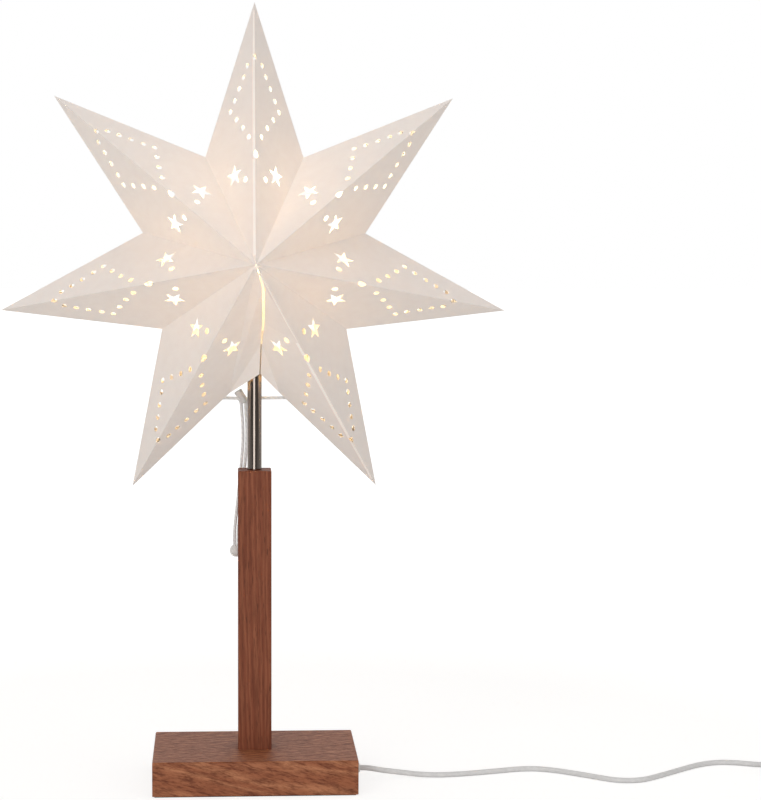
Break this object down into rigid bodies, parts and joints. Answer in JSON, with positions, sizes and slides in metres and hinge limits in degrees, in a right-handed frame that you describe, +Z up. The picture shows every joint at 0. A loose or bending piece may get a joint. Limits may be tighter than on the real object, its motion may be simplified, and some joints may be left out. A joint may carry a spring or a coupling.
{
  "type": "paper star table lamp",
  "caption": "Folded and punched white paper star with pointed rays, lit from inside, on a steel tube and a square walnut post with a flat walnut foot and a white mains cord.",
  "frame": {"origin": "middle of the underside of the foot, on the table", "axes": "+Z up along the tube, -Y towards the front of the lamp, +X to the side where the cord leaves the foot"},
  "size_m": [0.6078, 0.1875, 0.538],
  "materials": {
    "walnut": "oiled, open grain",
    "felt": "pressed felt",
    "steel_tube": "brushed along its length",
    "zinc_steel": "zinc plated",
    "grommet_rubber": "matt",
    "holder_plastic": "moulded, smooth",
    "holder_ceramic": "unglazed",
    "holder_brass": "pressed",
    "frosted_glass": "frosted, lit",
    "star_paper": "matt, translucent",
    "cord_pvc": "satin",
    "tie_plastic": "satin",
    "plug_pvc": "moulded, satin",
    "pin_metal": "nickel plated",
    "pin_sleeve": "moulded",
    "string_fibre": "soft braid",
    "stopper_plastic": "moulded, milky",
    "bead_plastic": "moulded, smooth"
  },
  "bodies": {
    "root": {"base_board": "walnut", "post": "walnut", "base_felt": "felt", "stem_tube": "steel_tube", "stem_washer": "zinc_steel", "stem_nut": "zinc_steel", "cord_grommet": "grommet_rubber", "holder_cap": "holder_plastic", "holder_sleeve": "holder_plastic", "holder_core": "holder_ceramic", "holder_shell": "holder_brass", "holder_contact": "holder_brass", "bulb": "frosted_glass", "star_leaf_01": "star_paper", "star_leaf_02": "star_paper", "star_leaf_03": "star_paper", "star_leaf_04": "star_paper", "star_leaf_05": "star_paper", "star_leaf_06": "star_paper", "star_leaf_07": "star_paper", "star_leaf_08": "star_paper", "star_leaf_09": "star_paper", "star_leaf_10": "star_paper", "star_leaf_11": "star_paper", "star_leaf_12": "star_paper", "star_leaf_13": "star_paper", "star_leaf_14": "star_paper", "cord_inside": "cord_pvc", "cord_run": "cord_pvc", "cord_coil": "cord_pvc", "coil_tie": "tie_plastic", "plug_body": "plug_pvc", "plug_pins": "pin_metal", "plug_sleeves": "pin_sleeve", "tie_string_left": "string_fibre", "tie_string_right": "string_fibre", "tie_knots": "string_fibre", "tie_stopper": "stopper_plastic", "tie_bead": "bead_plastic"}
  },
  "joints": []
}
